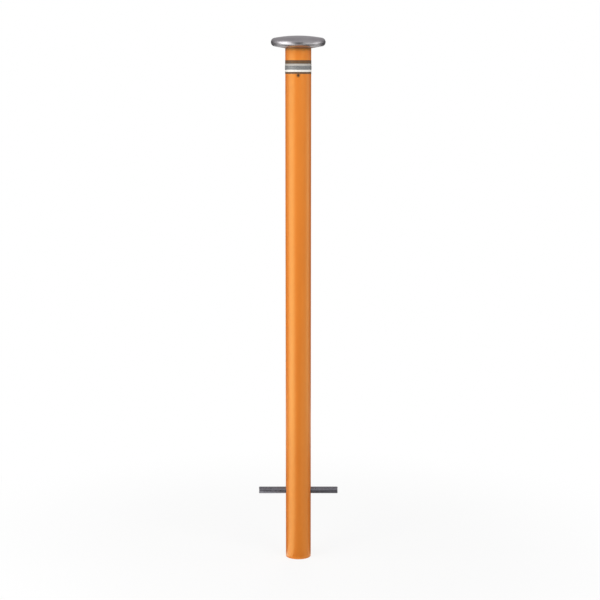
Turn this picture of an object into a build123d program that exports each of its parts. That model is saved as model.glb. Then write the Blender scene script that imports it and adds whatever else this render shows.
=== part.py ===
from build123d import *

import os
from math import asin, atan2, cos, degrees, hypot, radians, sin, sqrt, tan

# A fixed street bollard, in millimetres. The post stands on +Z with the middle of its foot at
# the origin. The anchor bar runs along X, and the front, with the cap's set screw, is at -Y.

# Post: standard steel pipe, sawn square, with its sharp edges taken off
overall_height = 1250.0
post_diameter = 60.5
post_wall = 3.2
post_deburr = 0.5

# Cap: one spun shell of stainless sheet
cap_diameter = 127.0
cap_height = 28.8
cap_crown_radius = 310.0
cap_rim_radius = 10.0
cap_sheet = 1.5
cap_seat_margin = 1.5

# Spigot: the sleeve under the cap that drops into the pipe and ends a little below the screw
spigot_wall = 2.0
spigot_past_screw = 12.8
spigot_clearance = 0.2
spigot_crown_gap = 0.2
spigot_lead = 1.0

# Set screw that locks the cap, at the front, close under the band
screw_diameter = 6.0
screw_below_band = 0.4
screw_recess = 0.2
screw_clearance = 0.05
screw_edge = 0.5
socket_width = 3.0
socket_depth = 2.0
dimple_depth = 0.8

# Reflective band: a dark base strip, and on it a prismatic strip with sealed borders. Each
# strip lies on its own thin layer of adhesive
band_drop = 27.6
adhesive = 0.1
backing_height = 31.2
backing_thickness = 0.15
backing_upper_margin = 8.0
sheet_height = 18.6
sheet_border = 4.4
border_thickness = 0.15
field_thickness = 0.3
band_joint = 1.0

# Anchor bar: round bar through the post, held in the footing
bar_diameter = 16.0
bar_length = 190.0
bar_height = 165.0
bar_clearance = 0.3
bar_chamfer = 1.0

# Sizes that follow from those above
post_radius = post_diameter / 2
bore_radius = post_radius - post_wall
post_length = overall_height - cap_height
spigot_radius = bore_radius - spigot_clearance
backing_foot = post_length - band_drop - backing_height
backing_radius = post_radius + adhesive
sheet_foot = backing_foot + backing_height - backing_upper_margin - sheet_height
sheet_radius = backing_radius + backing_thickness + adhesive
screw_height = backing_foot - screw_below_band - screw_diameter / 2
screw_hole_radius = screw_diameter / 2 + screw_clearance
screw_outer = post_radius - screw_recess
screw_tip = spigot_radius - dimple_depth
spigot_foot = screw_height - spigot_past_screw
bar_hole_radius = bar_diameter / 2 + bar_clearance

# The cap's section: the rim's circle touches the crown's arc from inside, and the underside
# is the line from the edge of the seat that touches the rim's circle from below
rim_centre_r = cap_diameter / 2 - cap_rim_radius
crown_centre_z = cap_height - cap_crown_radius
crown_to_rim = cap_crown_radius - cap_rim_radius
rim_centre_z = crown_centre_z + sqrt(crown_to_rim**2 - rim_centre_r**2)
crown_angle = degrees(asin(rim_centre_r / crown_to_rim))
seat_radius = post_radius + cap_seat_margin
seat_to_rim = hypot(rim_centre_r - seat_radius, rim_centre_z)
underside_angle = degrees(
    atan2(rim_centre_z, rim_centre_r - seat_radius) - asin(cap_rim_radius / seat_to_rim)
)


def cap_section(inset):
    """Half of the cap's section, drawn inset inside its outer face and closed on the axis."""
    rim_radius = cap_rim_radius - inset
    rim_foot_r = rim_centre_r + rim_radius * sin(radians(underside_angle))
    rim_foot_z = rim_centre_z - rim_radius * cos(radians(underside_angle))
    flat_r = rim_foot_r - (rim_foot_z - inset) / tan(radians(underside_angle))
    peak = (0, post_length + cap_height - inset)
    with BuildSketch(Plane.XZ) as section:
        with BuildLine():
            crown = JernArc(peak, (1, 0), cap_crown_radius - inset, -crown_angle)
            rim = JernArc(crown @ 1, crown % 1, rim_radius, crown_angle + underside_angle - 180)
            underside = Line(rim @ 1, (flat_r, post_length + inset))
            seat = Line(underside @ 1, (0, post_length + inset))
            Line(seat @ 1, peak)
        make_face()
    return section.sketch


# The post, with the cross holes for the bar and the tapped hole for the set screw
with BuildPart() as post_tube:
    with BuildSketch():
        Circle(post_radius)
        Circle(bore_radius, mode=Mode.SUBTRACT)
    extrude(amount=post_length)
    chamfer(post_tube.edges().filter_by(GeomType.CIRCLE), post_deburr)
    with BuildSketch(Plane.YZ):
        with Locations((0, bar_height)):
            Circle(bar_hole_radius)
    extrude(amount=post_diameter, both=True, mode=Mode.SUBTRACT)
    with BuildSketch(Plane.XZ):
        with Locations((0, screw_height)):
            Circle(screw_hole_radius)
    extrude(amount=post_diameter, mode=Mode.SUBTRACT)
post_tube.part.label = "post_tube"

# The cap is the solid section less the same section one sheet thickness further in, with a
# round opening in its seat for the spigot. The rest of the seat bears on the end of the pipe
with BuildPart() as cap_shell:
    revolve(cap_section(0), axis=Axis.Z)
    revolve(cap_section(cap_sheet), axis=Axis.Z, mode=Mode.SUBTRACT)
    with BuildSketch(Plane.XY.offset(post_length)):
        Circle(spigot_radius)
    extrude(amount=cap_sheet, mode=Mode.SUBTRACT)
cap_shell.part.label = "cap_shell"

# The spigot is a plain sleeve that stops just under the crown. It has a lead-in at its foot
# and a drilled dimple for the tip of the set screw
crown_over_spigot = post_length + crown_centre_z + sqrt(
    (cap_crown_radius - cap_sheet) ** 2 - spigot_radius**2
)
with BuildPart() as cap_spigot:
    with BuildSketch(Plane.XY.offset(spigot_foot)):
        Circle(spigot_radius)
        Circle(spigot_radius - spigot_wall, mode=Mode.SUBTRACT)
    extrude(amount=crown_over_spigot - spigot_crown_gap - spigot_foot)
    foot_edges = cap_spigot.edges().group_by(Axis.Z)[0]
    chamfer(foot_edges.sort_by(SortBy.RADIUS)[-1], spigot_lead)
    with BuildSketch(Plane.XZ.offset(screw_tip)):
        with Locations((0, screw_height)):
            Circle(screw_hole_radius)
    extrude(amount=post_radius, mode=Mode.SUBTRACT)
cap_spigot.part.label = "cap_spigot"

# The set screw: a headless screw with a hexagon socket, its tip in the dimple
with BuildPart() as set_screw:
    with BuildSketch(Plane.XZ.offset(screw_tip)):
        with Locations((0, screw_height)):
            Circle(screw_diameter / 2)
    extrude(amount=screw_outer - screw_tip)
    chamfer(set_screw.edges().filter_by(GeomType.CIRCLE), screw_edge)
    with BuildSketch(Plane.XZ.offset(screw_outer)):
        with Locations((0, screw_height)):
            RegularPolygon(socket_width / 2, 6, major_radius=False)
    extrude(amount=-socket_depth, mode=Mode.SUBTRACT)
set_screw.part.label = "set_screw"


def strip_section(inner_radius, thickness, height):
    """One turn of strip round the post, with the butt joint of its ends at the back."""
    with BuildSketch(Plane.XY.offset(height)) as section:
        Circle(inner_radius + thickness)
        Circle(inner_radius, mode=Mode.SUBTRACT)
        with Locations((0, inner_radius)):
            Rectangle(band_joint, 4 * thickness + band_joint, mode=Mode.SUBTRACT)
    return section.sketch


# The dark base strip of the band, stuck to the paint
with BuildPart() as tape_backing:
    extrude(strip_section(backing_radius, backing_thickness, backing_foot), backing_height)
tape_backing.part.label = "tape_backing"

# The prismatic strip: its field stands a little above the two borders that seal it
with BuildPart() as reflective_sheet:
    extrude(strip_section(sheet_radius, border_thickness, sheet_foot), sheet_height)
    field = strip_section(sheet_radius, field_thickness, sheet_foot + sheet_border)
    extrude(field, sheet_height - 2 * sheet_border)
reflective_sheet.part.label = "reflective_sheet"

# The anchor bar, with its cut ends chamfered
with BuildPart() as anchor_bar:
    with BuildSketch(Plane.YZ):
        with Locations((0, bar_height)):
            Circle(bar_diameter / 2)
    extrude(amount=bar_length / 2, both=True)
    chamfer(anchor_bar.edges().filter_by(GeomType.CIRCLE), bar_chamfer)
anchor_bar.part.label = "anchor_bar"

os.makedirs("parts", exist_ok=True)
export_step(post_tube.part, "parts/post_tube.step")
export_step(cap_shell.part, "parts/cap_shell.step")
export_step(cap_spigot.part, "parts/cap_spigot.step")
export_step(set_screw.part, "parts/set_screw.step")
export_step(tape_backing.part, "parts/tape_backing.step")
export_step(reflective_sheet.part, "parts/reflective_sheet.step")
export_step(anchor_bar.part, "parts/anchor_bar.step")
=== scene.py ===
from math import asin, atan2, cos, hypot, pi, radians, sin, sqrt, tan

import bmesh
import bpy
from mathutils import Matrix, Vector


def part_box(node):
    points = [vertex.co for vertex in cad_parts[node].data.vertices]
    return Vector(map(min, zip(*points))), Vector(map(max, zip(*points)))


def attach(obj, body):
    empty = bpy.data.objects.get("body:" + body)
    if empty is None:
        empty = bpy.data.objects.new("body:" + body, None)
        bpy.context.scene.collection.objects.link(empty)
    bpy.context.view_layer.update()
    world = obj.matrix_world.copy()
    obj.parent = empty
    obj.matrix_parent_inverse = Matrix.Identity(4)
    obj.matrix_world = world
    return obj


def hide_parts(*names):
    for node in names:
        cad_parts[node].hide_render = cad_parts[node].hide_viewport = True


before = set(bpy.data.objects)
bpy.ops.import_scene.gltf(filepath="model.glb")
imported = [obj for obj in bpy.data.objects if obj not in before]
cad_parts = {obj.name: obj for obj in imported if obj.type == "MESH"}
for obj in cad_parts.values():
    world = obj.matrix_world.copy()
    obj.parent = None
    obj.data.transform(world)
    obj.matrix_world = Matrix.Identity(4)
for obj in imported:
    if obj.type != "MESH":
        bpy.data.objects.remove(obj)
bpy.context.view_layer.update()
scene = bpy.context.scene

# The camera: a little below the cap, which it sees edge-on, and tipped down so that the whole
# post fits the frame. It stands far enough back to keep the sides of the post near parallel
eye_height = 1.18
eye_distance = 3.6
eye_tip = radians(8.68)
eye_pan = radians(-0.065)
lens = 91.9
sensor_width = 36
view_depth = 50

camera_data = bpy.data.cameras.new("camera")
camera_data.lens = lens
camera_data.sensor_width = sensor_width
camera_data.clip_end = view_depth
camera = bpy.data.objects.new("camera", camera_data)
camera.location = (0, -eye_distance, eye_height)
camera.rotation_euler = (pi / 2 - eye_tip, 0, eye_pan)
scene.collection.objects.link(camera)
scene.camera = camera
scene.view_settings.view_transform = "Standard"


# The studio: a pale floor and a white surround, with grey walls and floor cards that only
# mirror-like surfaces see. Two low soft boxes draw the lines of light down the post, and three
# larger ones, which no reflection shows, give it its general light
pure_white = (1, 1, 1, 1)
ambient = 0.33
floor_radius = 3.3
floor_paper = (0.93, 0.93, 0.93, 1)
floor_glow = 0.85
shadow_radius = 0.35
shadow_fade = 1.1
wall_height = 2.7
wall_tint = (1, 0.97, 1, 1)
ceiling_grey = 0.48
front_grey = 0.62
rear_grey = 0.07
rear_reach = (0.8, 2.4)
backdrop_grey = 0.30
backdrop_reach = (0.5, 1.2)
skirting_share = 0.35
skirting_height = 0.8
studio_facets = 96
card_start = 0.034
card_end = 3.2
card_lift = 0.002
card_steps = 12


def wire(tree, kind, links=(), **settings):
    """Adds a node to a tree and applies its settings. Each socket named in links gets a value,
    a wire from a socket, or a wire from the first socket of a node."""
    made = tree.nodes.new(kind)
    for setting, value in settings.items():
        setattr(made, setting, value)
    for socket, value in dict(links).items():
        source = value.outputs[0] if isinstance(value, bpy.types.Node) else value
        if isinstance(source, bpy.types.NodeSocket):
            tree.links.new(source, made.inputs[socket])
        else:
            made.inputs[socket].default_value = source
    return made


def reckon(tree, operation, *values, **settings):
    """One Math node. It returns the socket with the result."""
    links = dict(enumerate(values))
    return wire(tree, "ShaderNodeMath", links, operation=operation, **settings).outputs[0]


def ramp(tree, value, low=0.0, high=1.0, start=0.0, end=1.0):
    """Runs smoothly from start to end while the value goes from low to high."""
    links = {"Value": value, "From Min": low, "From Max": high, "To Min": start, "To Max": end}
    made = wire(tree, "ShaderNodeMapRange", links, interpolation_type="SMOOTHSTEP")
    return made.outputs["Result"]


def axes(tree):
    """The X, Y and Z of the place on the object, as sockets."""
    place = wire(tree, "ShaderNodeTexCoord").outputs["Object"]
    return wire(tree, "ShaderNodeSeparateXYZ", {0: place}).outputs


def blank_tree(owner):
    """Switches on the nodes of a material or a world, and clears them."""
    owner.use_nodes = True
    owner.node_tree.nodes.clear()
    return owner.node_tree


def background_ray(tree):
    """1 for the rays that see the white surround: from the camera, off gloss or through glass."""
    rays = wire(tree, "ShaderNodeLightPath").outputs
    seen = reckon(tree, "MAXIMUM", rays["Is Camera Ray"], rays["Is Glossy Ray"])
    return reckon(tree, "MAXIMUM", seen, rays["Is Transmission Ray"])


def world_light():
    """White where the surround is seen, and a weak even light everywhere else."""
    world = bpy.data.worlds.new("white surround")
    tree = blank_tree(world)
    light = wire(tree, "ShaderNodeBackground", {"Color": pure_white, "Strength": ambient})
    seen = wire(tree, "ShaderNodeBackground", {"Color": pure_white, "Strength": 1.0})
    mixed = wire(tree, "ShaderNodeMixShader", {0: background_ray(tree), 1: light, 2: seen})
    wire(tree, "ShaderNodeOutputWorld", {"Surface": mixed})
    scene.world = world


def floor_material():
    """Pale paper that takes the post's shadow near its foot and turns pure white further out."""
    material = bpy.data.materials.new("pale floor")
    tree = blank_tree(material)
    place = wire(tree, "ShaderNodeTexCoord").outputs["Object"]
    reach = wire(tree, "ShaderNodeVectorMath", {0: place}, operation="LENGTH").outputs["Value"]
    far = ramp(tree, reach, shadow_radius, shadow_fade, floor_glow, 1.0)
    share = reckon(tree, "MULTIPLY", far, background_ray(tree))
    paper = wire(tree, "ShaderNodeBsdfDiffuse", {"Color": floor_paper})
    white = wire(tree, "ShaderNodeEmission", {"Color": pure_white, "Strength": 1.0})
    mixed = wire(tree, "ShaderNodeMixShader", {0: share, 1: paper, 2: white})
    wire(tree, "ShaderNodeOutputMaterial", {"Surface": mixed})
    return material


def wall_material():
    """Greys that run from the ceiling down to a darker skirting, and are darker at the rear,
    apart from a backdrop straight behind the post."""
    material = bpy.data.materials.new("grey walls")
    tree = blank_tree(material)
    axis = axes(tree)
    aside = reckon(tree, "ABSOLUTE", axis["X"])
    rear = ramp(tree, aside, *backdrop_reach, backdrop_grey, rear_grey)
    level = ramp(tree, axis["Y"], *rear_reach, front_grey, rear)
    skirting = ramp(tree, axis["Z"], 0.0, skirting_height, skirting_share, 1.0)
    low = reckon(tree, "MULTIPLY", level, skirting)
    grey = ramp(tree, axis["Z"], eye_height, wall_height, low, ceiling_grey)
    shade = wire(tree, "ShaderNodeEmission", {"Color": wall_tint, "Strength": grey})
    wire(tree, "ShaderNodeOutputMaterial", {"Surface": shade})
    return material


def card_material(name, grey):
    """A plain grey, over 1 where the card stands for a light."""
    material = bpy.data.materials.new(name)
    tree = blank_tree(material)
    shade = wire(tree, "ShaderNodeEmission", {"Color": pure_white, "Strength": grey})
    wire(tree, "ShaderNodeOutputMaterial", {"Surface": shade})
    return material


def studio_piece(name, shape, material):
    """Makes a studio piece of a bmesh, and marks it as no part of the object."""
    mesh = bpy.data.meshes.new(name)
    shape.to_mesh(mesh)
    shape.free()
    mesh.materials.append(material)
    piece = bpy.data.objects.new(name, mesh)
    scene.collection.objects.link(piece)
    return piece


def mirror_only(piece):
    """Hides a studio piece from everything but the reflections in mirror-like surfaces."""
    piece.visible_camera = False
    piece.visible_diffuse = False
    piece.visible_shadow = False
    piece.visible_transmission = False


def floor_card(name, azimuths, reaches, grey):
    """A fan-shaped card on the floor round the post, between two azimuths and two distances."""
    shape = bmesh.new()
    start, end = azimuths
    sides = []
    for step in range(card_steps + 1):
        angle = radians(start + (end - start) * step / card_steps)
        side = [shape.verts.new((r * sin(angle), -r * cos(angle), card_lift)) for r in reaches]
        sides.append(side)
    for first, second in zip(sides, sides[1:]):
        shape.faces.new((*first, *reversed(second)))
    mirror_only(studio_piece(name, shape, card_material(name, grey)))


def soft_box(name, azimuth, distance, height, size, power, mirrored=False):
    """An upright area lamp that faces the post. Azimuth 0 is at the camera's side."""
    lamp_data = bpy.data.lights.new(name, "AREA")
    lamp_data.shape = "RECTANGLE"
    lamp_data.size, lamp_data.size_y = size
    lamp_data.energy = power
    lamp = bpy.data.objects.new(name, lamp_data)
    angle = radians(azimuth)
    lamp.location = (distance * sin(angle), -distance * cos(angle), height)
    lamp.rotation_euler = (pi / 2, 0, angle)
    lamp.visible_camera = False
    lamp.visible_glossy = mirrored
    scene.collection.objects.link(lamp)


world_light()

floor_shape = bmesh.new()
bmesh.ops.create_circle(floor_shape, cap_ends=True, radius=floor_radius, segments=studio_facets)
studio_piece("floor", floor_shape, floor_material())

wall_shape = bmesh.new()
bmesh.ops.create_cone(
    wall_shape, segments=studio_facets, radius1=floor_radius, radius2=floor_radius,
    depth=wall_height, matrix=Matrix.Translation((0, 0, wall_height / 2)),
)
bmesh.ops.create_circle(
    wall_shape, cap_ends=True, radius=floor_radius, segments=studio_facets,
    matrix=Matrix.Translation((0, 0, wall_height)),
)
mirror_only(studio_piece("walls", wall_shape, wall_material()))

floor_card("left card", (-92, -36), (card_start, 1.25), grey=1.85)
floor_card("right card", (34, 82), (card_start, 1.2), grey=0.5)
floor_card("front card", (-24, 24), (card_start, card_end), grey=0.03)
floor_card("left bar card", (-35, -25), (card_start, 0.45), grey=0.02)
floor_card("right bar card", (25, 33), (card_start, 0.45), grey=0.02)
for name, azimuths in (("rear left card", (-165, -96)), ("rear right card", (92, 165))):
    floor_card(name + " near", azimuths, (card_start, 1.15), grey=0.05)
    floor_card(name + " far", azimuths, (1.65, card_end), grey=0.05)

soft_box(
    "key light", azimuth=-63, distance=1.2, height=0.645, size=(1.25, 1.27), power=8.4,
    mirrored=True,
)
soft_box(
    "side light", azimuth=92, distance=1.5, height=0.57, size=(0.7, 1.12), power=2.5,
    mirrored=True,
)
soft_box("upper key light", azimuth=-38, distance=2.2, height=2.1, size=(1.3, 1.5), power=20)
soft_box("fill light", azimuth=38, distance=2.2, height=2.0, size=(1.4, 1.8), power=26)
soft_box("rear light", azimuth=175, distance=2.6, height=1.8, size=(1.4, 2.0), power=20)


# The post: standard steel pipe, sawn square, its edges broken by hand, drilled across for the
# anchor bar and tapped for the cap's screw. It is powder-coated orange after drilling, so the
# coat runs over the sawn ends, where it thins, and a little way into the bore
foot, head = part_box("post_tube")
post_radius = head.x
post_length = head.z
post_wall = 0.0032
bore_radius = post_radius - post_wall
post_break = 0.0005
bar_low, bar_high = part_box("anchor_bar")
bar_radius = (bar_high.z - bar_low.z) / 2
bar_height = (bar_high.z + bar_low.z) / 2
bar_clearance = 0.0003
bar_hole_radius = bar_radius + bar_clearance
screw_low, screw_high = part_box("set_screw")
screw_radius = (screw_high.z - screw_low.z) / 2
screw_height = (screw_high.z + screw_low.z) / 2
thread_clearance = 0.00005
screw_hole_radius = screw_radius + thread_clearance
post_facets = 144
hole_facets = 72
break_steps = 3
ring_pitch = 0.03
ring_margin = 0.004
hole_margin = 0.002
weld_distance = 1e-7
smooth_angle = radians(28)


def arc(centre_r, centre_z, radius, start, sweep, steps):
    """Points of an arc in a piece's half section, angles in radians from straight outwards."""
    angles = [start + sweep * step / steps for step in range(steps + 1)]
    return [(centre_r + radius * cos(a), centre_z + radius * sin(a)) for a in angles]


def section_object(name, points, closed=False):
    """The half section of a piece, as edges in the plane of X and Z. A tree that draws its own
    section starts from one with no points."""
    edges = [(i, i + 1) for i in range(len(points) - 1)]
    if closed:
        edges.append((len(points) - 1, 0))
    mesh = bpy.data.meshes.new(name)
    mesh.from_pydata([(r, 0, z) for r, z in points], edges, [])
    piece = bpy.data.objects.new(name, mesh)
    scene.collection.objects.link(piece)
    return piece


def geometry_tree(name, inputs):
    """An empty Geometry Nodes tree with named inputs. It returns the tree and its input node."""
    tree = bpy.data.node_groups.new(name, "GeometryNodeTree")
    tree.interface.new_socket("Geometry", in_out="OUTPUT", socket_type="NodeSocketGeometry")
    tree.interface.new_socket("Geometry", in_out="INPUT", socket_type="NodeSocketGeometry")
    for label, kind in inputs.items():
        tree.interface.new_socket(label, in_out="INPUT", socket_type="NodeSocket" + kind)
    return tree, tree.nodes.new("NodeGroupInput").outputs


def end_tree(tree, geometry, material):
    """Ends a tree with Realize Instances and Set Material."""
    plain = wire(tree, "GeometryNodeRealizeInstances", {"Geometry": geometry})
    dressed = wire(tree, "GeometryNodeSetMaterial", {"Geometry": plain, "Material": material})
    wire(tree, "NodeGroupOutput", {"Geometry": dressed})


def grown(source, tree, values, sharp=smooth_angle):
    """Runs a tree on an object and returns the result as a plain mesh object, welded, facing
    outwards and shaded smooth up to the sharp angle."""
    modifier = source.modifiers.new("grow", "NODES")
    modifier.node_group = tree
    for socket in tree.interface.items_tree:
        if socket.in_out == "INPUT" and socket.name in values:
            modifier[socket.identifier] = values[socket.name]
    evaluated = source.evaluated_get(bpy.context.evaluated_depsgraph_get())
    mesh = bpy.data.meshes.new_from_object(evaluated)
    name = source.name
    bpy.data.objects.remove(source)
    shape = bmesh.new()
    shape.from_mesh(mesh)
    bmesh.ops.remove_doubles(shape, verts=shape.verts, dist=weld_distance)
    bmesh.ops.recalc_face_normals(shape, faces=shape.faces)
    for face in shape.faces:
        face.smooth = True
    shape.to_mesh(mesh)
    shape.free()
    mesh.set_sharp_from_angle(angle=sharp)
    mesh.name = name
    piece = bpy.data.objects.new(name, mesh)
    scene.collection.objects.link(piece)
    return piece


def lathe_tree():
    """Turns a half section about Z, by carrying it round a small circle at the axis."""
    hub = 0.001
    tree, given = geometry_tree("lathe", {"Facets": "Int", "Material": "Material"})
    section = wire(tree, "GeometryNodeMeshToCurve", {"Mesh": given["Geometry"]})
    profile = wire(
        tree,
        "GeometryNodeTransform",
        {"Geometry": section, "Translation": (-hub, 0, 0), "Rotation": (pi / 2, 0, 0)},
    )
    circle = wire(
        tree, "GeometryNodeCurvePrimitiveCircle", {"Resolution": given["Facets"], "Radius": hub}
    )
    upright = wire(tree, "GeometryNodeSetCurveNormal", {"Curve": circle}, mode="Z_UP")
    turned = wire(
        tree, "GeometryNodeCurveToMesh", {"Curve": upright, "Profile Curve": profile}
    )
    joined = wire(
        tree, "GeometryNodeMergeByDistance", {"Geometry": turned, "Distance": weld_distance}
    )
    end_tree(tree, joined, given["Material"])
    return tree


lathe = lathe_tree()


def drill_tree():
    """Lathes the pipe's section, then drills it across along X and once from the front."""
    tree, given = geometry_tree(
        "drilled pipe",
        {
            "Facets": "Int",
            "Hole Facets": "Int",
            "Cross Hole Height": "Float",
            "Cross Hole Radius": "Float",
            "Screw Hole Height": "Float",
            "Screw Hole Radius": "Float",
            "Drill Length": "Float",
            "Material": "Material",
        },
    )
    pipe_links = {name: given[name] for name in ("Geometry", "Facets", "Material")}
    pipe = wire(tree, "GeometryNodeGroup", pipe_links, node_tree=lathe)
    cut = wire(tree, "GeometryNodeMeshBoolean", {"Mesh 1": pipe}, operation="DIFFERENCE")
    across = wire(tree, "ShaderNodeCombineXYZ", {"Z": given["Cross Hole Height"]})
    half = reckon(tree, "MULTIPLY", given["Drill Length"], -0.5)
    front = wire(tree, "ShaderNodeCombineXYZ", {"Y": half, "Z": given["Screw Hole Height"]})
    for radius, turn, place in (
        (given["Cross Hole Radius"], (0, pi / 2, 0), across),
        (given["Screw Hole Radius"], (pi / 2, 0, 0), front),
    ):
        drill = wire(
            tree,
            "GeometryNodeMeshCylinder",
            {"Vertices": given["Hole Facets"], "Radius": radius, "Depth": given["Drill Length"]},
        )
        placed = wire(
            tree,
            "GeometryNodeTransform",
            {"Geometry": drill, "Rotation": turn, "Translation": place},
        )
        tree.links.new(placed.outputs[0], cut.inputs["Mesh 2"])
    end_tree(tree, cut, given["Material"])
    return tree


def shader_group(name, inputs):
    """An empty shader node group that makes one value from named numbers. It returns the tree
    and its input node."""
    tree = bpy.data.node_groups.new(name, "ShaderNodeTree")
    for label, number in inputs.items():
        socket = tree.interface.new_socket(label, in_out="INPUT", socket_type="NodeSocketFloat")
        socket.default_value = number
    tree.interface.new_socket("Value", in_out="OUTPUT", socket_type="NodeSocketFloat")
    return tree, tree.nodes.new("NodeGroupInput").outputs


def noise(tree, place, size, contrast, detail, roughness):
    """Noise round the middle of 0 to 1, spread or drawn together by its contrast."""
    scale = reckon(tree, "DIVIDE", 1.0, size)
    links = {"Vector": place, "Scale": scale, "Detail": detail, "Roughness": roughness}
    level = wire(tree, "ShaderNodeTexNoise", links).outputs["Fac"]
    from_middle = reckon(tree, "SUBTRACT", level, 0.5)
    return reckon(tree, "MULTIPLY_ADD", from_middle, contrast, 0.5, use_clamp=True)


def speckle_group():
    """Soft spots of one size, which may be stretched along Z."""
    tree, given = shader_group("speckle", {"Size": 0.01, "Stretch": 1.0, "Contrast": 1.0})
    place = wire(tree, "ShaderNodeTexCoord").outputs["Object"]
    stretch = wire(tree, "ShaderNodeCombineXYZ", {"X": 1.0, "Y": 1.0, "Z": given["Stretch"]})
    shrunk = wire(tree, "ShaderNodeVectorMath", {0: place, 1: stretch}, operation="DIVIDE")
    value = noise(tree, shrunk, given["Size"], given["Contrast"], detail=3.0, roughness=0.55)
    wire(tree, "NodeGroupOutput", {"Value": value})
    return tree


speckle = speckle_group()


def spots(tree, size, contrast=1.0, stretch=1.0):
    """Places the speckle group and returns its value."""
    links = {"Size": size, "Contrast": contrast, "Stretch": stretch}
    return wire(tree, "ShaderNodeGroup", links, node_tree=speckle).outputs["Value"]


def ragged_edge_group():
    """A mask for wear, grime or scuffs at an edge: 1 closer to it than Near and 0 past Far. Spots
    push its border about, towards the edge if Ragged is above 0 and away from it if below."""
    tree, given = shader_group(
        "ragged edge",
        {"Distance": 0, "Near": 0, "Far": 0.001, "Ragged": 0, "Spot Size": 0.01, "Contrast": 1},
    )
    patches = spots(tree, given["Spot Size"], given["Contrast"])
    pushed = reckon(tree, "MULTIPLY_ADD", patches, given["Ragged"], given["Distance"])
    mask = ramp(tree, pushed, given["Near"], given["Far"], 1.0, 0.0)
    wire(tree, "NodeGroupOutput", {"Value": mask})
    return tree


ragged_edge = ragged_edge_group()


def edge_mask(tree, distance, near, far, ragged, size, contrast):
    """Places the ragged edge group and returns its mask."""
    links = {
        "Distance": distance,
        "Near": near,
        "Far": far,
        "Ragged": ragged,
        "Spot Size": size,
        "Contrast": contrast,
    }
    return wire(tree, "ShaderNodeGroup", links, node_tree=ragged_edge).outputs["Value"]


def from_axis(tree, first, second):
    """How far a place lies from an axis, worked out from its two coordinates across it."""
    squares = [reckon(tree, "POWER", side, 2.0) for side in (first, second)]
    return reckon(tree, "SQRT", reckon(tree, "ADD", *squares))


def blend_colour(tree, share, first, second):
    """Mixes two colours, each a value or a wire, by a share from 0 to 1. The Mix node has them at
    its inputs 6 and 7, and their mix at its output 2."""
    links = {0: share, 6: first, 7: second}
    return wire(tree, "ShaderNodeMix", links, data_type="RGBA").outputs[2]


def finish_material(name, plain, wires, bump_reach, bump_strength):
    """A material with one Principled BSDF. plain holds the sockets that are the same all over,
    and wires makes those that change over the surface. A Height among them becomes a bump."""
    material = bpy.data.materials.new(name)
    tree = blank_tree(material)
    shader = wire(tree, "ShaderNodeBsdfPrincipled", plain)
    for socket, value in wires(tree).items():
        if socket == "Height":
            links = {"Height": value, "Distance": bump_reach, "Strength": bump_strength}
            relief = wire(tree, "ShaderNodeBump", links)
            tree.links.new(relief.outputs[0], shader.inputs["Normal"])
        else:
            tree.links.new(value, shader.inputs[socket])
    wire(tree, "ShaderNodeOutputMaterial", {"Surface": shader})
    return material


orange_full = (0.80, 0.213, 0.017, 1)
orange_thin = (0.71, 0.165, 0.012, 1)
orange_gloss = (0.88, 1.0, 0.40, 1)
thin_share = 0.35
fine_peel_share = 0.6
coat_reach = 0.045
# The dark coat colour below is painted shade under the cap, and it also darkens the paint round
# the screw
dark_coat = (0.16, 0.065, 0.022, 1)
painted_shade_share = 0.75
screw_dark_reach = 0.005
screw_dark_share = 0.6
bore_steel = (0.33, 0.32, 0.31, 1)
bore_scale = (0.14, 0.12, 0.11, 1)
bore_metallic = 0.85
bore_extra_roughness = 0.15


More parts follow.
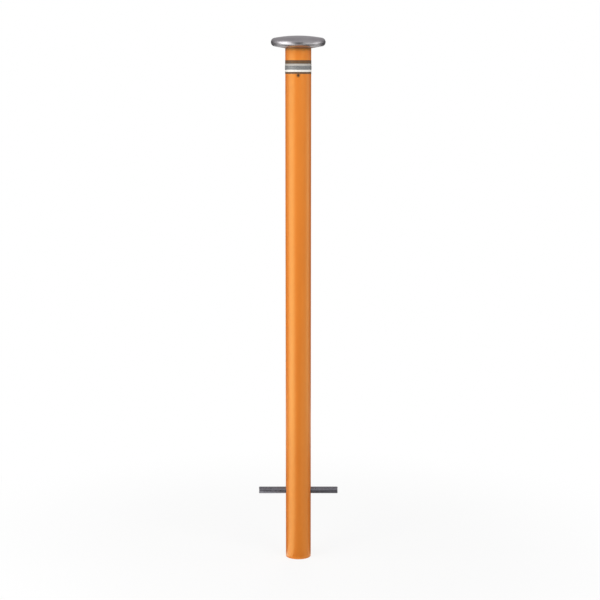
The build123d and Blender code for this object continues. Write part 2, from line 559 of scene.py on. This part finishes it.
def paint_wires(tree):
    """The orange coat, thinner at the sawn ends, with painted shade under the cap and a darker
    ring at the front, round the screw, and the scaled steel that it leaves bare deep in the bore."""
    axis = axes(tree)
    above_foot = reckon(tree, "SUBTRACT", axis["Z"], foot.z)
    below_head = reckon(tree, "SUBTRACT", post_length, axis["Z"])
    from_end = reckon(tree, "MINIMUM", above_foot, below_head)
    cloudy = spots(tree, size=0.06, contrast=0.9, stretch=3.0)
    even_coat = blend_colour(tree, cloudy, orange_thin, orange_full)
    at_end = edge_mask(
        tree, from_end, near=0.0004, far=0.0022, ragged=0.0012, size=0.003, contrast=2.2
    )
    thinned = reckon(tree, "MULTIPLY", at_end, thin_share)
    coat = blend_colour(tree, thinned, even_coat, orange_thin)

    # Painted shade: the coat turns dark just under the cap
    under_cap = edge_mask(
        tree, below_head, near=-0.001, far=0.0065, ragged=-0.003, size=0.009, contrast=1.8
    )
    darkening = reckon(tree, "MULTIPLY", under_cap, painted_shade_share)
    from_screw = from_axis(tree, axis["X"], reckon(tree, "SUBTRACT", axis["Z"], screw_height))
    # The paint darkens in a ring round the screw, at the front only
    near, far = screw_hole_radius, screw_hole_radius + screw_dark_reach
    round_screw = edge_mask(
        tree, from_screw, near, far, ragged=0.0015, size=0.003, contrast=1.8
    )
    at_front = ramp(tree, axis["Y"], -screw_dark_reach, 0.0, screw_dark_share, 0.0)
    marks = reckon(tree, "MULTIPLY", round_screw, at_front)
    darkened_coat = blend_colour(tree, reckon(tree, "MAXIMUM", darkening, marks), coat, dark_coat)

    from_middle = from_axis(tree, axis["X"], axis["Y"])
    inside = ramp(tree, from_middle, bore_radius, bore_radius + post_wall / 2, 1.0, 0.0)
    near, far = coat_reach, 2 * coat_reach
    coated = edge_mask(tree, from_end, near, far, ragged=coat_reach, size=0.02, contrast=1.6)
    bare = reckon(tree, "MULTIPLY", inside, reckon(tree, "SUBTRACT", 1.0, coated))
    steel = blend_colour(tree, spots(tree, size=0.006, contrast=1.8), bore_steel, bore_scale)

    gloss = ramp(tree, spots(tree, size=0.03, contrast=1.2), start=0.30, end=0.40)
    coarse_peel = spots(tree, size=0.0055)
    fine_peel = spots(tree, size=0.0016, contrast=1.2)
    return {
        "Base Color": blend_colour(tree, bare, darkened_coat, steel),
        "Metallic": reckon(tree, "MULTIPLY", bare, bore_metallic),
        "Roughness": reckon(tree, "MULTIPLY_ADD", bare, bore_extra_roughness, gloss),
        "Height": reckon(tree, "MULTIPLY_ADD", fine_peel, fine_peel_share, coarse_peel),
    }


def post_section():
    """The pipe's wall, from the foot up the outside and down the bore. Rings of points along it
    and beside the drilled holes keep its facets short."""
    heights = [step * ring_pitch for step in range(1, int(post_length / ring_pitch) + 1)]
    for middle, radius in ((bar_height, bar_hole_radius), (screw_height, screw_hole_radius)):
        clear = radius + hole_margin
        heights = [z for z in heights if abs(z - middle) > clear + ring_margin]
        heights += [middle - clear, middle + clear]
    heights = sorted(z for z in heights if ring_margin < z < post_length - ring_margin)
    outside = post_radius - post_break
    within = bore_radius + post_break
    top = post_length - post_break
    points = arc(outside, post_break, post_break, -pi / 2, pi / 2, break_steps)
    points += [(post_radius, z) for z in heights]
    points += arc(outside, top, post_break, 0, pi / 2, break_steps)
    points += arc(within, top, post_break, pi / 2, pi / 2, break_steps)
    points += [(bore_radius, z) for z in reversed(heights)]
    points += arc(within, post_break, post_break, pi, pi / 2, break_steps)
    return points


post_paint = finish_material(
    "orange powder coat",
    {"IOR": 1.92, "Specular Tint": orange_gloss},
    paint_wires,
    bump_reach=0.00006,
    bump_strength=0.5,
)
post = grown(
    section_object("painted_post", post_section(), closed=True),
    drill_tree(),
    {
        "Facets": post_facets,
        "Hole Facets": hole_facets,
        "Cross Hole Height": bar_height,
        "Cross Hole Radius": bar_hole_radius,
        "Screw Hole Height": screw_height,
        "Screw Hole Radius": screw_hole_radius,
        "Drill Length": 4 * post_radius,
        "Material": post_paint,
    },
)
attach(post, "root")
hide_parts("post_tube")


# The cap: one disc of stainless sheet, spun over a former to a shallow crown, a bull-nose rim
# and an underside that falls gently to its seat on the pipe. It is polished on the lathe, which
# leaves fine rings round its axis
seat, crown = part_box("cap_shell")
cap_radius = crown.x
cap_top = crown.z
cap_seat = seat.z
cap_sheet = 0.0015
crown_radius = 0.310
rim_radius = 0.010
seat_margin = 0.0015
seat_radius = post_radius + seat_margin
spigot_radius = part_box("cap_spigot")[1].x
cap_facets = 190
crown_steps = 14
rim_steps = 28
underside_steps = 4
polished_steel = (0.61, 0.59, 0.60, 1)
dulled_steel = (0.45, 0.435, 0.45, 1)
# The seat colour is painted shade on the underside next to the pipe
seat_painted_shade = (0.20, 0.15, 0.11, 1)
tool_share = 0.8
tool_depth = 1.5
polish_roughness = 0.27
grain_roughness = 0.08
smudge_roughness = 0.08
seat_extra_roughness = 0.2


def straight(start, end, steps):
    """Points along a straight stretch of a half section, after its first."""
    shares = [step / steps for step in range(1, steps + 1)]
    return [tuple(a + (b - a) * share for a, b in zip(start, end)) for share in shares]


def cap_half(inset):
    """The cap's outer face from the axis round to the seat's edge, drawn inset inside itself."""
    rim_r = cap_radius - rim_radius
    crown_centre = cap_top - crown_radius
    rim_z = crown_centre + sqrt((crown_radius - rim_radius) ** 2 - rim_r**2)
    lean = asin(rim_r / (crown_radius - rim_radius))
    reach = hypot(rim_r - seat_radius, rim_z - cap_seat)
    fall = atan2(rim_z - cap_seat, rim_r - seat_radius) - asin(rim_radius / reach)
    outer = arc(0, crown_centre, crown_radius - inset, pi / 2, -lean, crown_steps)
    rim = arc(rim_r, rim_z, rim_radius - inset, pi / 2 - lean, lean + fall - pi, rim_steps)
    rim_foot_r, rim_foot_z = rim[-1]
    flat_z = cap_seat + inset
    flat_r = rim_foot_r - (rim_foot_z - flat_z) / tan(fall)
    return outer + rim[1:] + straight(rim[-1], (flat_r, flat_z), underside_steps)


def turned_rings_group():
    """Fine rings round the axis of a turned or spun piece."""
    tree, given = shader_group("turned rings", {"Pitch": 0.0004, "Contrast": 1.0})
    axis = axes(tree)
    from_middle = from_axis(tree, axis["X"], axis["Y"])
    place = wire(tree, "ShaderNodeCombineXYZ", {"X": from_middle, "Y": axis["Z"]})
    value = noise(tree, place, given["Pitch"], given["Contrast"], detail=2.0, roughness=0.6)
    wire(tree, "NodeGroupOutput", {"Value": value})
    return tree


turned_rings = turned_rings_group()


def rings(tree, pitch, contrast):
    """Places the turned rings group and returns its value."""
    links = {"Pitch": pitch, "Contrast": contrast}
    return wire(tree, "ShaderNodeGroup", links, node_tree=turned_rings).outputs["Value"]


def cap_wires(tree):
    """Polished steel, dulled by smudges and by the marks of the lathe tool, with painted shade
    round its seat on the pipe."""
    smudge = spots(tree, size=0.022, contrast=2.2)
    grain = rings(tree, pitch=0.0005, contrast=1.4)
    tool_marks = rings(tree, pitch=0.003, contrast=2.0)
    smudged = blend_colour(tree, smudge, polished_steel, dulled_steel)
    marked_share = reckon(tree, "MULTIPLY", tool_marks, tool_share)
    marked = blend_colour(tree, marked_share, smudged, dulled_steel)
    above_seat = reckon(tree, "SUBTRACT", axes(tree)["Z"], cap_seat)
    # Painted shade: the underside darkens, and roughens, next to its seat
    at_seat = edge_mask(
        tree, above_seat, near=-0.0004, far=0.0036, ragged=-0.0012, size=0.008, contrast=1.8
    )
    darkening = reckon(tree, "MULTIPLY", at_seat, painted_shade_share)
    grained = reckon(tree, "MULTIPLY_ADD", grain, grain_roughness, polish_roughness)
    dulled = reckon(tree, "MULTIPLY_ADD", smudge, smudge_roughness, grained)
    return {
        "Base Color": blend_colour(tree, darkening, marked, seat_painted_shade),
        "Roughness": reckon(tree, "MULTIPLY_ADD", darkening, seat_extra_roughness, dulled),
        "Height": reckon(tree, "MULTIPLY_ADD", tool_marks, tool_depth, grain),
    }


cap_steel = finish_material(
    "spun stainless", {"Metallic": 1.0}, cap_wires, bump_reach=0.00002, bump_strength=0.5
)
cap_section = cap_half(0.0)
cap_section += [(spigot_radius, cap_seat), (spigot_radius, cap_seat + cap_sheet)]
cap_section += reversed(cap_half(cap_sheet))
cap = grown(
    section_object("spun_cap", cap_section), lathe, {"Facets": cap_facets, "Material": cap_steel}
)
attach(cap, "root")
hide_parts("cap_shell")


# The cap's sleeve: drawn stainless tube welded under the cap, hidden in the pipe. Drawing
# leaves it dull, with faint lines along it
drawn_bright = (0.50, 0.49, 0.48, 1)
drawn_dull = (0.38, 0.37, 0.36, 1)


def sleeve_wires(tree):
    """Lines of brighter and duller steel along the tube."""
    lines = spots(tree, size=0.0012, contrast=1.6, stretch=40.0)
    return {
        "Base Color": blend_colour(tree, lines, drawn_bright, drawn_dull),
        "Roughness": ramp(tree, lines, start=0.28, end=0.46),
        "Height": lines,
    }


sleeve_steel = finish_material(
    "drawn stainless", {"Metallic": 1.0}, sleeve_wires, bump_reach=0.00002, bump_strength=0.4
)
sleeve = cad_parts["cap_spigot"]
sleeve.data.materials.clear()
sleeve.data.materials.append(sleeve_steel)


# The set screw: a short blackened M6 screw with a hexagon socket, run in from the front until it
# lies just below the paint, where it locks the cap's sleeve. Its thread is cut to a plain V and
# runs out in a chamfer at each end
screw_face = screw_low.y
screw_tip = screw_high.y
thread_pitch = 0.001
thread_depth = 0.00061
socket_width = 0.003
socket_depth = 0.002
hexagon_sides = 6
screw_facets = 64
screw_rings = 56
screw_brown = (0.17, 0.105, 0.055, 1)
screw_rubbed = (0.30, 0.20, 0.12, 1)


def screw_tree():
    """A rod whose radius follows a thread's height round and along it, with a hexagon socket
    sunk in its outer end."""
    tree, given = geometry_tree(
        "set screw",
        {
            "Facets": "Int",
            "Rings": "Int",
            "Radius": "Float",
            "Length": "Float",
            "Pitch": "Float",
            "Thread Depth": "Float",
            "Socket Width": "Float",
            "Socket Depth": "Float",
            "Material": "Material",
        },
    )
    rod = wire(
        tree,
        "GeometryNodeMeshCylinder",
        {
            "Vertices": given["Facets"],
            "Side Segments": given["Rings"],
            "Radius": given["Radius"],
            "Depth": given["Length"],
        },
    )
    place = wire(tree, "GeometryNodeInputPosition")
    axis = wire(tree, "ShaderNodeSeparateXYZ", {0: place}).outputs
    turn = reckon(tree, "DIVIDE", reckon(tree, "ARCTAN2", axis["Y"], axis["X"]), 2 * pi)
    climb = reckon(tree, "DIVIDE", axis["Z"], given["Pitch"])
    flank = reckon(tree, "PINGPONG", reckon(tree, "SUBTRACT", climb, turn), 0.5)
    groove = reckon(tree, "MULTIPLY", reckon(tree, "MULTIPLY", flank, 2.0), given["Thread Depth"])
    half = reckon(tree, "MULTIPLY", given["Length"], 0.5)
    from_end = reckon(tree, "SUBTRACT", half, reckon(tree, "ABSOLUTE", axis["Z"]))
    slope = reckon(tree, "SUBTRACT", given["Thread Depth"], from_end)
    cut = reckon(tree, "MAXIMUM", groove, reckon(tree, "MAXIMUM", slope, 0.0))
    left = reckon(tree, "SUBTRACT", given["Radius"], cut)
    share = reckon(tree, "DIVIDE", left, given["Radius"])
    moved = wire(
        tree,
        "ShaderNodeCombineXYZ",
        {
            "X": reckon(tree, "MULTIPLY", axis["X"], share),
            "Y": reckon(tree, "MULTIPLY", axis["Y"], share),
            "Z": axis["Z"],
        },
    )
    threaded = wire(tree, "GeometryNodeSetPosition", {"Geometry": rod, "Position": moved})
    corner = reckon(tree, "DIVIDE", given["Socket Width"], 2 * cos(pi / hexagon_sides))
    key_length = reckon(tree, "MULTIPLY", given["Socket Depth"], 2.0)
    key = wire(
        tree,
        "GeometryNodeMeshCylinder",
        {"Vertices": hexagon_sides, "Radius": corner, "Depth": key_length},
    )
    raised = wire(tree, "ShaderNodeCombineXYZ", {"Z": half})
    placed_key = wire(tree, "GeometryNodeTransform", {"Geometry": key, "Translation": raised})
    sunk = wire(
        tree,
        "GeometryNodeMeshBoolean",
        {"Mesh 1": threaded, "Mesh 2": placed_key},
        operation="DIFFERENCE",
    )
    end_tree(tree, sunk, given["Material"])
    return tree


def screw_wires(tree):
    """Blackening that has browned and is rubbed thin in spots."""
    rubbed = spots(tree, size=0.0009, contrast=2.4)
    return {
        "Base Color": blend_colour(tree, rubbed, screw_brown, screw_rubbed),
        "Roughness": ramp(tree, rubbed, start=0.34, end=0.52),
        "Height": rubbed,
    }


screw_steel = finish_material(
    "blackened steel", {"Metallic": 0.9}, screw_wires, bump_reach=0.00001, bump_strength=0.5
)
screw = grown(
    section_object("socket_screw", []),
    screw_tree(),
    {
        "Facets": screw_facets,
        "Rings": screw_rings,
        "Radius": screw_radius,
        "Length": screw_tip - screw_face,
        "Pitch": thread_pitch,
        "Thread Depth": thread_depth,
        "Socket Width": socket_width,
        "Socket Depth": socket_depth,
        "Material": screw_steel,
    },
)
screw.data.transform(Matrix.Rotation(pi / 2, 4, "X"))
screw.data.transform(Matrix.Translation((0, (screw_face + screw_tip) / 2, screw_height)))
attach(screw, "root")
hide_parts("set_screw")


# The base of the band: a dark film, stuck to the paint and wrapped once round the post, its ends
# meeting at the back
back_low, back_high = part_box("tape_backing")
adhesive = 0.0001
back_inner = post_radius + adhesive
back_thickness = back_high.x - back_inner
back_edge = 0.8
film_gap = 0.001
wrap_facets = 193
film_dark = (0.094, 0.049, 0.020, 1)
film_worn = (0.165, 0.092, 0.040, 1)


def wrap_tree():
    """Carries a strip's section round the post, from one end of the strip to the other."""
    tree, given = geometry_tree(
        "wrapped strip",
        {"Radius": "Float", "Gap": "Float", "Facets": "Int", "Material": "Material"},
    )
    section = wire(tree, "GeometryNodeMeshToCurve", {"Mesh": given["Geometry"]})
    profile = wire(
        tree, "GeometryNodeTransform", {"Geometry": section, "Rotation": (pi / 2, 0, 0)}
    )
    gap_angle = reckon(tree, "DIVIDE", given["Gap"], given["Radius"])
    path = wire(
        tree,
        "GeometryNodeCurveArc",
        {
            "Resolution": given["Facets"],
            "Radius": given["Radius"],
            "Start Angle": reckon(tree, "MULTIPLY_ADD", gap_angle, 0.5, pi / 2),
            "Sweep Angle": reckon(tree, "SUBTRACT", 2 * pi, gap_angle),
        },
    )
    upright = wire(tree, "GeometryNodeSetCurveNormal", {"Curve": path}, mode="Z_UP")
    wrapped = wire(
        tree,
        "GeometryNodeCurveToMesh",
        {"Curve": upright, "Profile Curve": profile, "Fill Caps": True},
    )
    end_tree(tree, wrapped, given["Material"])
    return tree


wrap = wrap_tree()


def strip_section(name, low, high, lower_half):
    """The section of a strip whose upper half mirrors its lower one. Each point of lower_half is
    how far it stands out, and how far it lies in from the strip's edge."""
    points = [(out, low + inwards) for out, inwards in lower_half]
    points += [(out, high - inwards) for out, inwards in reversed(lower_half)]
    return section_object(name, points, closed=True)


def film_wires(tree):
    """Dark film, worn paler in patches."""
    mottled = spots(tree, size=0.004, contrast=1.8)
    return {
        "Base Color": blend_colour(tree, mottled, film_dark, film_worn),
        "Roughness": ramp(tree, mottled, start=0.42, end=0.58),
        "Height": spots(tree, size=0.0011, contrast=1.4),
    }


film = finish_material(
    "dark base film", {"IOR": 1.48}, film_wires, bump_reach=0.00002, bump_strength=0.4
)
backing = grown(
    strip_section(
        "base_film",
        back_low.z,
        back_high.z,
        [(0.0, 0.0), (back_thickness * back_edge, 0.0), (back_thickness, back_thickness)],
    ),
    wrap,
    {"Radius": back_inner, "Gap": film_gap, "Facets": wrap_facets, "Material": film},
)
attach(backing, "root")
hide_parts("tape_backing")


# The reflective strip: silver prismatic sheet stuck on the base film. Its two pale borders are
# pressed flat to seal it, and its field stands proud and is sealed into small six-sided cells
sheet_low, sheet_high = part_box("reflective_sheet")
sheet_inner = back_high.x + adhesive
sheet_edge = 0.7
border = 0.0044
border_thickness = 0.00015
cells_round = 58
cell_rows = 3
cell_wall = 0.00032
cell_height = 0.00006
cell_sink = 0.00002
field_low = sheet_low.z + border
field_high = sheet_high.z - border
field_middle = (field_low + field_high) / 2
field_radius = sheet_high.x - cell_height
field_thickness = field_radius - sheet_inner
sheet_smooth_angle = radians(60)
prism_scale = 3200.0
flank_start = field_radius + cell_height / 6
flank_end = field_radius + cell_height / 2
seam_inside = 0.0002
seam_outside = 0.0001
grime_most = 0.2
field_metallic = 0.5
lower_border_white = (0.98, 0.94, 0.87, 1)
# The upper border's grey is painted shade cast by the cap
upper_border_painted_shade = (0.50, 0.48, 0.44, 1)
border_grime = (0.30, 0.27, 0.23, 1)
seal_grey = (0.42, 0.42, 0.41, 1)
field_silver = (0.30, 0.305, 0.30, 1)
field_dark = (0.16, 0.165, 0.17, 1)


def cell_tree():
    """Wraps the strip, then sets rows of low six-sided cells on its field. The cells are laid
    out flat, each second row half a cell along, and bent round the post."""
    tree, given = geometry_tree(
        "sealed cells",
        {
            "Radius": "Float",
            "Gap": "Float",
            "Facets": "Int",
            "Field Radius": "Float",
            "Field Middle": "Float",
            "Cells": "Int",
            "Rows": "Int",
            "Cell Wall": "Float",
            "Cell Height": "Float",
            "Cell Sink": "Float",
            "Material": "Material",
        },
    )
    strip_inputs = ("Geometry", "Radius", "Gap", "Facets", "Material")
    strip_links = {name: given[name] for name in strip_inputs}
    wrapped = wire(tree, "GeometryNodeGroup", strip_links, node_tree=wrap)

    # The middles of the cells, on a flat grid whose rows move a quarter cell either way
    round_length = reckon(tree, "MULTIPLY", given["Field Radius"], 2 * pi)
    length = reckon(tree, "SUBTRACT", round_length, given["Gap"])
    width = reckon(tree, "DIVIDE", length, reckon(tree, "ADD", given["Cells"], 1.0))
    pitch = reckon(tree, "MULTIPLY", width, sqrt(3) / 2)
    long_side = reckon(tree, "MULTIPLY", width, reckon(tree, "SUBTRACT", given["Cells"], 1.0))
    short_side = reckon(tree, "MULTIPLY", pitch, reckon(tree, "SUBTRACT", given["Rows"], 1.0))
    grid = wire(
        tree,
        "GeometryNodeMeshGrid",
        {
            "Size X": long_side,
            "Size Y": short_side,
            "Vertices X": given["Cells"],
            "Vertices Y": given["Rows"],
        },
    )
    place = wire(tree, "GeometryNodeInputPosition")
    axis = wire(tree, "ShaderNodeSeparateXYZ", {0: place}).outputs
    from_foot = reckon(tree, "MULTIPLY_ADD", short_side, 0.5, axis["Y"])
    row = reckon(tree, "ROUND", reckon(tree, "DIVIDE", from_foot, pitch))
    side = reckon(tree, "SUBTRACT", reckon(tree, "MODULO", row, 2.0), 0.5)
    along = reckon(tree, "MULTIPLY", reckon(tree, "MULTIPLY", side, 0.5), width)
    shift = wire(tree, "ShaderNodeCombineXYZ", {"X": along})
    staggered = wire(tree, "GeometryNodeSetPosition", {"Geometry": grid, "Offset": shift})

    # One cell, narrower at its top, with its base sunk a little into the field
    flat_width = reckon(tree, "SUBTRACT", width, given["Cell Wall"])
    corner = reckon(tree, "DIVIDE", flat_width, sqrt(3))
    total = reckon(tree, "ADD", given["Cell Height"], given["Cell Sink"])
    cell = wire(
        tree,
        "GeometryNodeMeshCone",
        {
            "Vertices": hexagon_sides,
            "Radius Bottom": corner,
            "Radius Top": reckon(tree, "SUBTRACT", corner, total),
            "Depth": total,
        },
        fill_type="TRIANGLE_FAN",
    )
    base = reckon(tree, "MULTIPLY", given["Cell Sink"], -1.0)
    drop = wire(tree, "ShaderNodeCombineXYZ", {"Z": base})
    lowered = wire(
        tree,
        "GeometryNodeTransform",
        {"Geometry": cell, "Rotation": (0, 0, pi / hexagon_sides), "Translation": drop},
    )
    rows = wire(
        tree, "GeometryNodeInstanceOnPoints", {"Points": staggered, "Instance": lowered}
    )
    flat = wire(tree, "GeometryNodeRealizeInstances", {"Geometry": rows})

    # The flat rows bent round the post: X becomes the angle from the front, Y the height and Z
    # the distance out from the field
    angle = reckon(tree, "DIVIDE", axis["X"], given["Field Radius"])
    reach = reckon(tree, "ADD", given["Field Radius"], axis["Z"])
    forwards = reckon(tree, "MULTIPLY", reckon(tree, "COSINE", angle), -1.0)
    bent = wire(
        tree,
        "ShaderNodeCombineXYZ",
        {
            "X": reckon(tree, "MULTIPLY", reach, reckon(tree, "SINE", angle)),
            "Y": reckon(tree, "MULTIPLY", reach, forwards),
            "Z": reckon(tree, "ADD", given["Field Middle"], axis["Y"]),
        },
    )
    cells = wire(tree, "GeometryNodeSetPosition", {"Geometry": flat, "Position": bent})
    joined = wire(tree, "GeometryNodeJoinGeometry")
    for part in (cells, wrapped):
        tree.links.new(part.outputs[0], joined.inputs[0])
    end_tree(tree, joined, given["Material"])
    return tree


def sheet_wires(tree):
    """Glinting prisms in the cells, plain seal between them, and two borders: the lower one white
    and the upper one grey with painted shade, both a little grimy."""
    place = wire(tree, "ShaderNodeTexCoord").outputs["Object"]
    axis = wire(tree, "ShaderNodeSeparateXYZ", {0: place}).outputs
    links = {"Vector": place, "Scale": prism_scale, "Randomness": 0.35}
    prisms = wire(tree, "ShaderNodeTexVoronoi", links, feature="F1").outputs["Color"]
    glint = wire(tree, "ShaderNodeSeparateColor", {0: prisms}).outputs[0]
    silver = blend_colour(tree, glint, field_dark, field_silver)
    from_middle = from_axis(tree, axis["X"], axis["Y"])
    in_cell = ramp(tree, from_middle, flank_start, flank_end)
    field = blend_colour(tree, in_cell, seal_grey, silver)

    half_field = (field_high - field_low) / 2
    above_middle = reckon(tree, "SUBTRACT", axis["Z"], field_middle)
    # Painted shade: the upper border is greyer than the lower one
    upper = ramp(tree, above_middle, -half_field, half_field)
    clean = blend_colour(tree, upper, lower_border_white, upper_border_painted_shade)
    darkening = reckon(tree, "MULTIPLY", spots(tree, size=0.008, contrast=1.6), grime_most)
    grimy = blend_colour(tree, darkening, clean, border_grime)
    off_middle = reckon(tree, "ABSOLUTE", above_middle)
    in_border = ramp(tree, off_middle, half_field - seam_inside, half_field + seam_outside)
    in_field = reckon(tree, "SUBTRACT", 1.0, ramp(tree, in_border))
    return {
        "Base Color": blend_colour(tree, in_border, field, grimy),
        "Metallic": reckon(tree, "MULTIPLY", in_field, field_metallic),
        "Roughness": ramp(tree, in_border, start=0.42, end=0.45),
        "Height": reckon(tree, "MULTIPLY", glint, in_field),
    }


sheeting = finish_material(
    "prismatic sheeting",
    {"IOR": 1.5, "Coat Weight": 0.25, "Coat Roughness": 0.3},
    sheet_wires,
    bump_reach=0.00004,
    bump_strength=0.5,
)
strip = grown(
    strip_section(
        "prismatic_strip",
        sheet_low.z,
        sheet_high.z,
        [
            (0.0, 0.0),
            (border_thickness * sheet_edge, 0.0),
            (border_thickness, border_thickness),
            (border_thickness, border - border_thickness),
            (field_thickness, border + border_thickness),
        ],
    ),
    cell_tree(),
    {
        "Radius": sheet_inner,
        "Gap": film_gap,
        "Facets": wrap_facets,
        "Field Radius": field_radius,
        "Field Middle": field_middle,
        "Cells": cells_round,
        "Rows": cell_rows,
        "Cell Wall": cell_wall,
        "Cell Height": cell_height,
        "Cell Sink": cell_sink,
        "Material": sheeting,
    },
    sharp=sheet_smooth_angle,
)
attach(strip, "root")
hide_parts("reflective_sheet")


# The anchor bar: plain round steel bar as rolled, sawn to length, its ends broken by a small
# chamfer. It lies loose in the post's cross holes until the concrete holds it
bar_half = bar_high.x
bar_chamfer = 0.001
bar_facets = 64
bar_steps = 24
scale_dark = (0.16, 0.158, 0.182, 1)
scale_light = (0.28, 0.275, 0.305, 1)
sawn_steel = (0.42, 0.41, 0.42, 1)
scale_metallic = 0.8
sawn_extra_metallic = 0.1
saw_depth = 2.0


def bar_wires(tree):
    """Dark mill scale along the bar, and bright steel with saw lines at its ends."""
    from_end = reckon(tree, "SUBTRACT", bar_half, reckon(tree, "ABSOLUTE", axes(tree)["X"]))
    sawn = edge_mask(
        tree, from_end, near=0.0002, far=0.0007, ragged=-0.0006, size=0.002, contrast=1.5
    )
    scale = blend_colour(tree, spots(tree, size=0.007, contrast=1.9), scale_dark, scale_light)
    saw_lines = spots(tree, size=0.0008, contrast=2.0, stretch=12.0)
    sawn_depth = reckon(tree, "MULTIPLY", sawn, saw_depth)
    pits = spots(tree, size=0.0014, contrast=1.3)
    return {
        "Base Color": blend_colour(tree, sawn, scale, sawn_steel),
        "Metallic": reckon(tree, "MULTIPLY_ADD", sawn, sawn_extra_metallic, scale_metallic),
        "Roughness": ramp(tree, spots(tree, size=0.005, contrast=1.5), start=0.24, end=0.40),
        "Height": reckon(tree, "MULTIPLY_ADD", saw_lines, sawn_depth, pits),
    }


bar_steel = finish_material(
    "rolled steel", {"IOR": 2.0}, bar_wires, bump_reach=0.00003, bump_strength=0.4
)
bar_straight = bar_half - bar_chamfer
bar_face = bar_radius - bar_chamfer
bar_section = [(0.0, -bar_half), (bar_face, -bar_half), (bar_radius, -bar_straight)]
bar_section += straight((bar_radius, -bar_straight), (bar_radius, bar_straight), bar_steps)
bar_section += [(bar_face, bar_half), (0.0, bar_half)]
bar = grown(
    section_object("keying_bar", bar_section), lathe, {"Facets": bar_facets, "Material": bar_steel}
)
bar.data.transform(Matrix.Rotation(pi / 2, 4, "Y"))
bar.data.transform(Matrix.Translation((0, 0, bar_height)))
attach(bar, "root")
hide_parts("anchor_bar")
